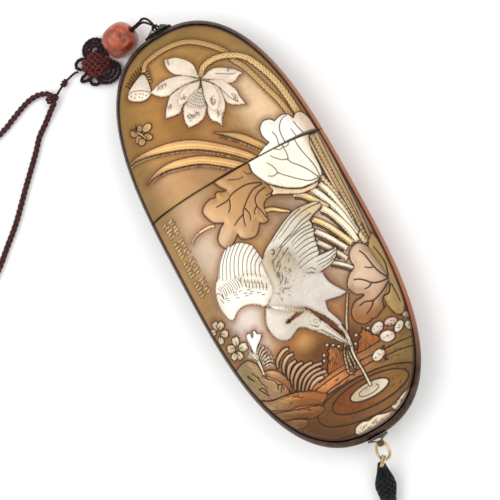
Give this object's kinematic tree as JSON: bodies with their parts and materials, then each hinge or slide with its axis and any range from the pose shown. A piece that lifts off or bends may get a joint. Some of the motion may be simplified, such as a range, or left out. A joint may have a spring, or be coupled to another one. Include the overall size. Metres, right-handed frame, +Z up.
{
  "type": "tobacco case",
  "caption": "Flat oval pocket case in two halves with a raised bird-and-lotus relief, a knotted cord with a bead and wrist strap at the lid's end, and a tassel on a ring at the other.",
  "frame": {"origin": "middle of the flat spot on the back of the case, which lies on the surface", "axes": "+Y along the case to the lid's end, +X to the right as the carved front is seen, +Z up through the front"},
  "size_m": [0.1285, 0.2002, 0.0238],
  "materials": {
    "front_metal": "chased relief, satin, in brass, silver and copper colours",
    "side_metal": "warm copper-coloured, satin",
    "dark_metal": "dark patina, rubbed bright on the edges",
    "ring_metal": "polished wire",
    "cord": "braided silk cord",
    "silk": "fine loose silk threads",
    "stone": "polished, mottled red-brown"
  },
  "bodies": {
    "root": {"lid_front_plate": "front_metal", "body_front_plate": "front_metal", "lid_back_shell": "side_metal", "body_back_shell": "side_metal", "inner_sleeve": "front_metal", "top_lug": "dark_metal", "bottom_boss": "dark_metal", "wire_ring": "ring_metal", "tassel": "silk", "bead": "stone", "hanger_cord": "cord", "decorative_knot": "cord", "small_knot": "cord", "strap_cord": "cord"}
  },
  "joints": []
}
